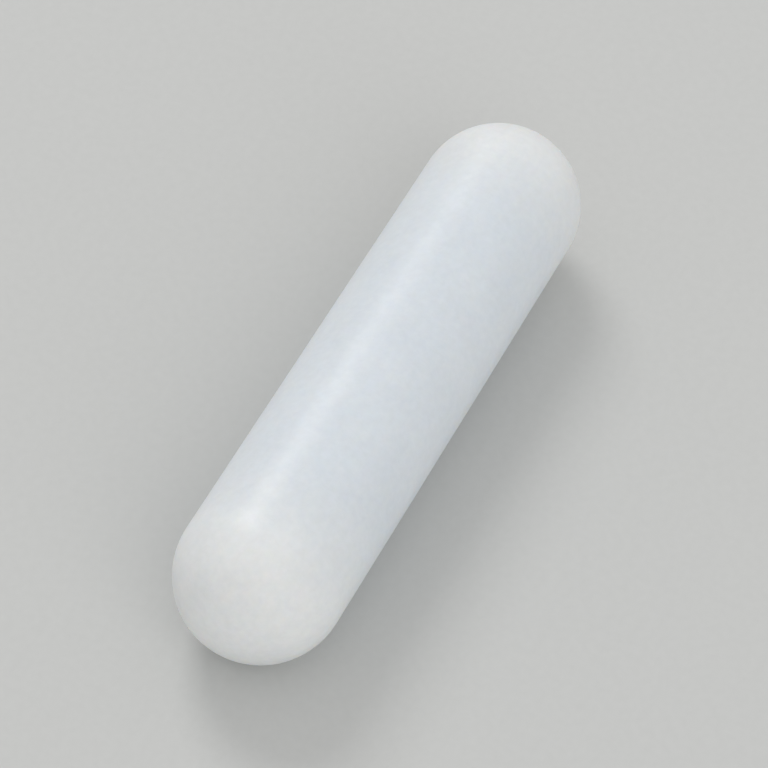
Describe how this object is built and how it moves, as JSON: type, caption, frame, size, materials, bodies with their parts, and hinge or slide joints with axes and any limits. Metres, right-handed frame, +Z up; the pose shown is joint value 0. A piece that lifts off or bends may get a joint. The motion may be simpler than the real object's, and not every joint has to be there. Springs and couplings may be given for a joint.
{
  "type": "magnetic stir bar",
  "caption": "Plain cylindrical magnetic stir bar: a bar magnet sealed in a white PTFE jacket with domed tips, laid in a vessel and spun by a magnetic stirrer to mix its liquid.",
  "frame": {"origin": "middle of the bar, on its axis", "axes": "+X along the bar, from its middle to one tip; +Z up, the axis it spins about when it lies in a vessel"},
  "size_m": [0.03, 0.007, 0.007],
  "materials": {
    "ptfe": "waxy satin white, slightly translucent",
    "magnet_alloy": "cast magnet alloy, ground"
  },
  "bodies": {
    "root": {"ptfe_jacket": "ptfe", "bar_magnet": "magnet_alloy"}
  },
  "joints": []
}
